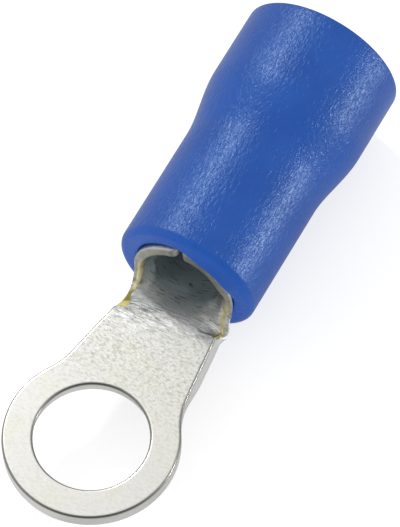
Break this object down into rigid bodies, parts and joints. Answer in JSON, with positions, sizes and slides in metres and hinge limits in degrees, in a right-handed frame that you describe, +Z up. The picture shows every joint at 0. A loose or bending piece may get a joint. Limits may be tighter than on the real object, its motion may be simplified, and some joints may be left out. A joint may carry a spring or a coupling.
{
  "type": "ring terminal",
  "caption": "Insulated crimp ring terminal: a flat ring tongue with a stud hole, formed into a rolled wire barrel inside a flared plastic sleeve.",
  "frame": {"origin": "centre of the stud hole at the tongue's underside", "axes": "+Z up through the stud hole, +X along the barrel from the ring towards the wire"},
  "size_m": [0.0213, 0.0066, 0.0064],
  "materials": {
    "tinned_copper": "satin",
    "blue_pvc": "satin"
  },
  "bodies": {
    "root": {"terminal": "tinned_copper", "insulation_sleeve": "blue_pvc"}
  },
  "joints": []
}
